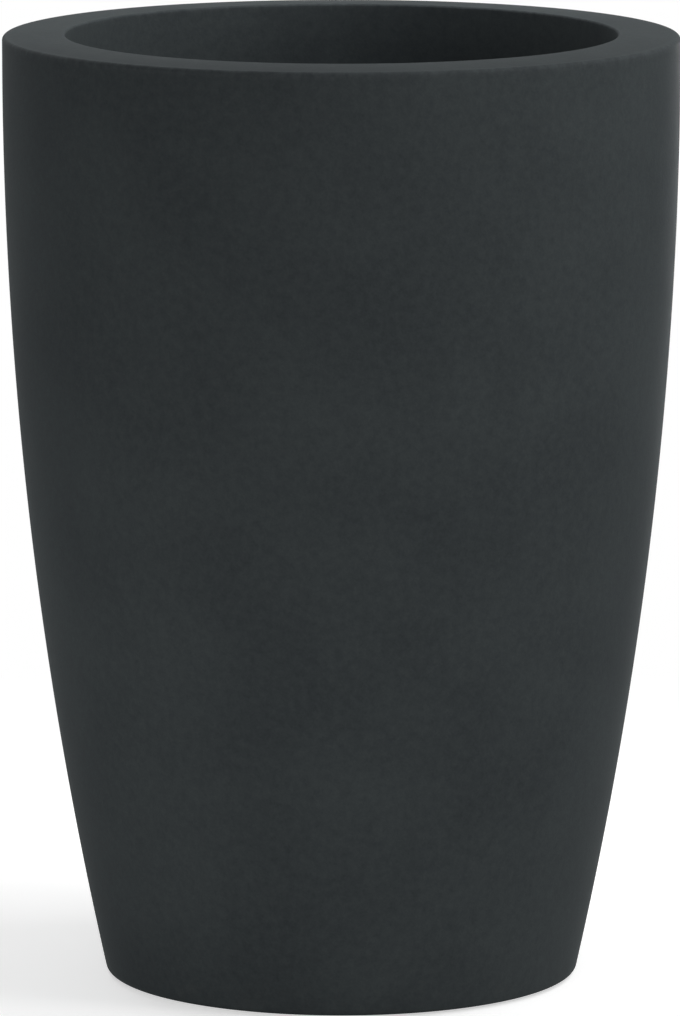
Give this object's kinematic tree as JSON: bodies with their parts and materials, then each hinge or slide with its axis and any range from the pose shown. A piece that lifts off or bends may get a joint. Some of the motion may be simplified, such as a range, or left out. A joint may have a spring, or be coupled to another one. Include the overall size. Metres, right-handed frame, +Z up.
{
  "type": "flower pot",
  "caption": "Tall round floor planter with a wide flat rim, tapered curved wall and a lift-out self-watering liner.",
  "frame": {"origin": "on the pot's axis, where its pads meet the floor", "axes": "+Z up along the pot's axis, front faces -Y, +X to the right seen from the front"},
  "size_m": [0.4, 0.4, 0.5635],
  "materials": {
    "shell_plastic": "matt rotomoulded polyethylene, anthracite, fine sanded grain",
    "liner_plastic": "satin injection-moulded polypropylene, near black",
    "fitting_plastic": "satin injection-moulded polypropylene, mid grey",
    "lid_plastic": "semi-gloss moulded polypropylene, water blue",
    "clear_plastic": "clear extruded acrylic",
    "float_plastic": "off-white closed-cell float",
    "flag_plastic": "red moulded plastic",
    "rubber": "matt black rubber",
    "felt": "pressed pale grey wick felt",
    "pin_steel": "drawn stainless wire"
  },
  "bodies": {
    "planter": {"outer_shell": "shell_plastic", "floor_pad_1": "rubber", "floor_pad_2": "rubber", "floor_pad_3": "rubber", "floor_pad_4": "rubber"},
    "base_stopper": {"base_stopper": "rubber"},
    "liner": {"planting_liner": "liner_plastic", "separator_plate": "fitting_plastic", "wick_column_1": "felt", "wick_column_2": "felt", "wick_column_3": "felt", "fill_shaft": "fitting_plastic", "lid_hinge_pin": "pin_steel", "gauge_tube": "clear_plastic", "gauge_cap": "lid_plastic", "gauge_clip": "fitting_plastic", "overflow_pipe": "fitting_plastic", "pipe_grommet": "rubber"},
    "float": {"gauge_float": "float_plastic", "gauge_rod": "flag_plastic", "level_flag": "flag_plastic"},
    "fill_lid": {"fill_lid": "lid_plastic"},
    "front_handle": {"front_handle": "liner_plastic"},
    "rear_handle": {"rear_handle": "liner_plastic"}
  },
  "joints": [
    {"name": "liner_lift", "type": "slide", "parent": "planter", "child": "liner", "axis": [0, 0, 1], "range_m": [0, 0.4]},
    {"name": "stopper_pull", "type": "slide", "parent": "planter", "child": "base_stopper", "axis": [0, 0, 1], "range_m": [0, 0.1]},
    {"name": "float_rise", "type": "slide", "parent": "liner", "child": "float", "axis": [0, 0, 1], "range_m": [0, 0.04]},
    {"name": "lid_swing", "type": "hinge", "parent": "liner", "child": "fill_lid", "pos_m": [0, 0.12054, 0.496], "axis": [-1, 0, 0], "range_deg": [0, 105]},
    {"name": "front_handle_swing", "type": "hinge", "parent": "liner", "child": "front_handle", "pos_m": [0, -0.016, 0.5143], "axis": [-1, 0, 0], "range_deg": [0, 94]},
    {"name": "rear_handle_swing", "type": "hinge", "parent": "liner", "child": "rear_handle", "pos_m": [0, 0.016, 0.5143], "axis": [1, 0, 0], "range_deg": [0, 94]}
  ]
}
